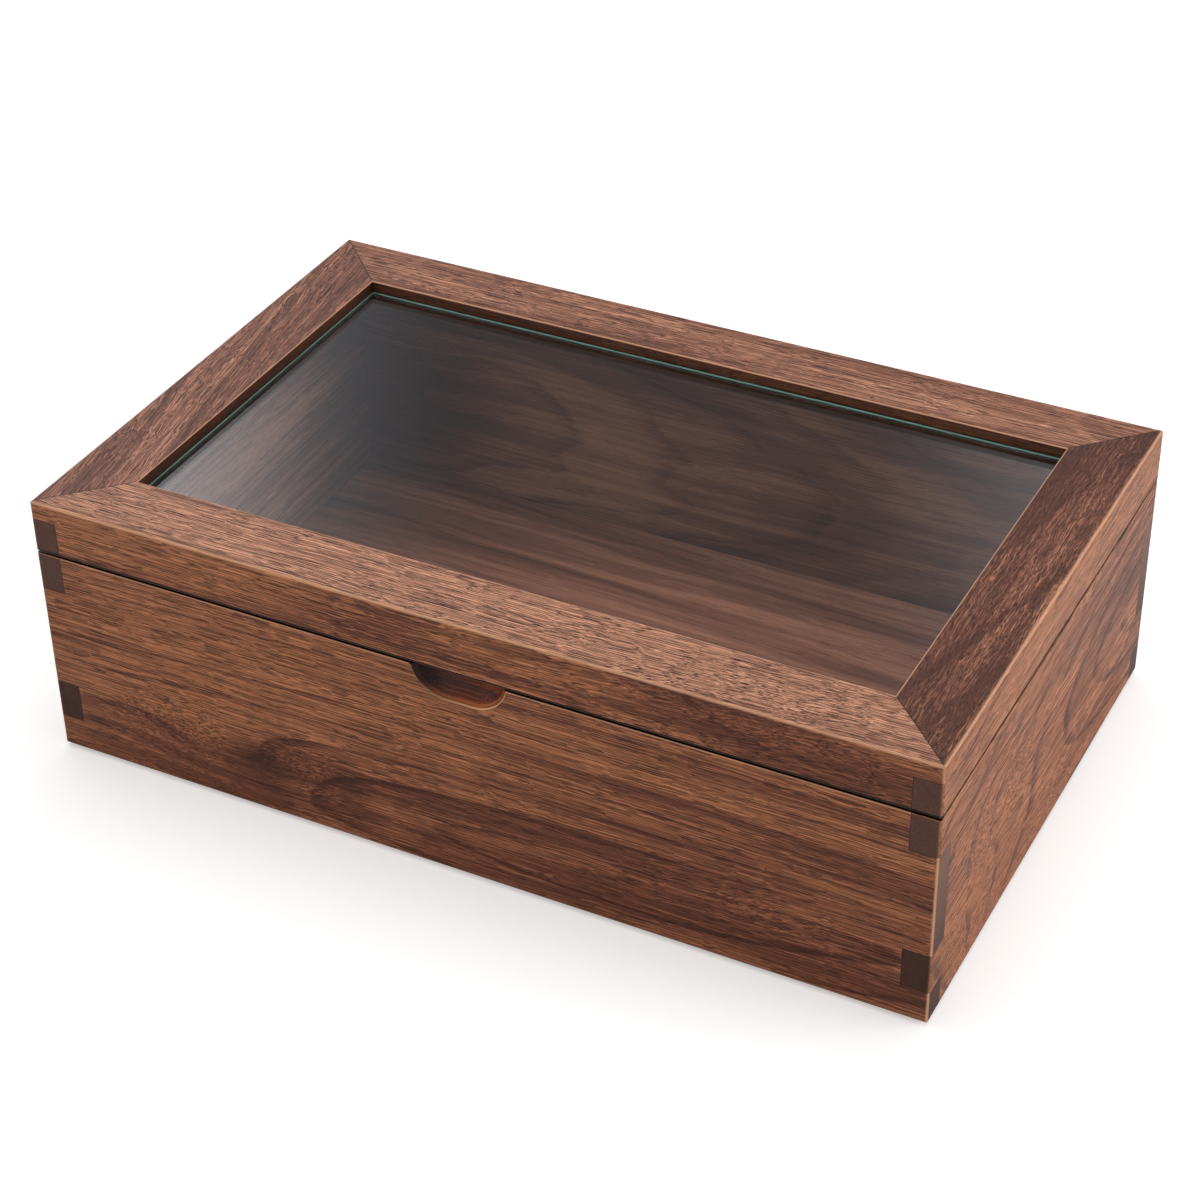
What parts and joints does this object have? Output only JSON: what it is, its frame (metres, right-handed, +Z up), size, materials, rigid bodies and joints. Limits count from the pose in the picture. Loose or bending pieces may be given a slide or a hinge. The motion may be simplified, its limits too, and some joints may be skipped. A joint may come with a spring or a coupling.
{
  "type": "glass-top wooden jewelry box",
  "caption": "Walnut jewelry box with finger-jointed body, thumb notch, and a mitred lid frame holding a glass pane, hinged at the back.",
  "frame": {"origin": "on the surface that the box stands on, under the middle of the whole object, hinges included", "axes": "+X right along the front, +Y from the front to the hinges, +Z up"},
  "size_m": [0.3, 0.196, 0.095],
  "materials": {
    "walnut_boards": "oiled satin",
    "walnut_frame": "oiled satin",
    "walnut_strips": "oiled satin",
    "lid_glass": "clear float glass, ground edges",
    "brass_fittings": "satin",
    "felt_pads": "matt felt",
    "rubber_bumpers": "matt",
    "glazing_tape": "matt foam"
  },
  "bodies": {
    "body": {"front_panel": "walnut_boards", "back_panel": "walnut_boards", "left_panel": "walnut_boards", "right_panel": "walnut_boards", "base_panel": "walnut_boards", "foot_pad_front_left": "felt_pads", "foot_pad_front_right": "felt_pads", "foot_pad_back_left": "felt_pads", "foot_pad_back_right": "felt_pads", "lid_bumper_left": "rubber_bumpers", "lid_bumper_right": "rubber_bumpers", "hinge_left_body_leaf": "brass_fittings", "hinge_left_pin": "brass_fittings", "hinge_left_body_screws": "brass_fittings", "hinge_right_body_leaf": "brass_fittings", "hinge_right_pin": "brass_fittings", "hinge_right_body_screws": "brass_fittings"},
    "lid": {"lid_front_apron": "walnut_boards", "lid_back_apron": "walnut_boards", "lid_left_apron": "walnut_boards", "lid_right_apron": "walnut_boards", "frame_front_rail": "walnut_frame", "frame_back_rail": "walnut_frame", "frame_left_rail": "walnut_frame", "frame_right_rail": "walnut_frame", "glazing_strip_front": "walnut_strips", "glazing_strip_back": "walnut_strips", "glazing_strip_left": "walnut_strips", "glazing_strip_right": "walnut_strips", "strip_brads": "brass_fittings", "glazing_tape": "glazing_tape", "glass_pane": "lid_glass", "hinge_left_lid_leaf": "brass_fittings", "hinge_left_lid_screws": "brass_fittings", "hinge_right_lid_leaf": "brass_fittings", "hinge_right_lid_screws": "brass_fittings"}
  },
  "joints": [
    {"name": "lid_hinge", "type": "hinge", "parent": "body", "child": "lid", "pos_m": [0, 0.09471, 0.0766], "axis": [-1, 0, 0], "range_deg": [0, 95]}
  ]
}
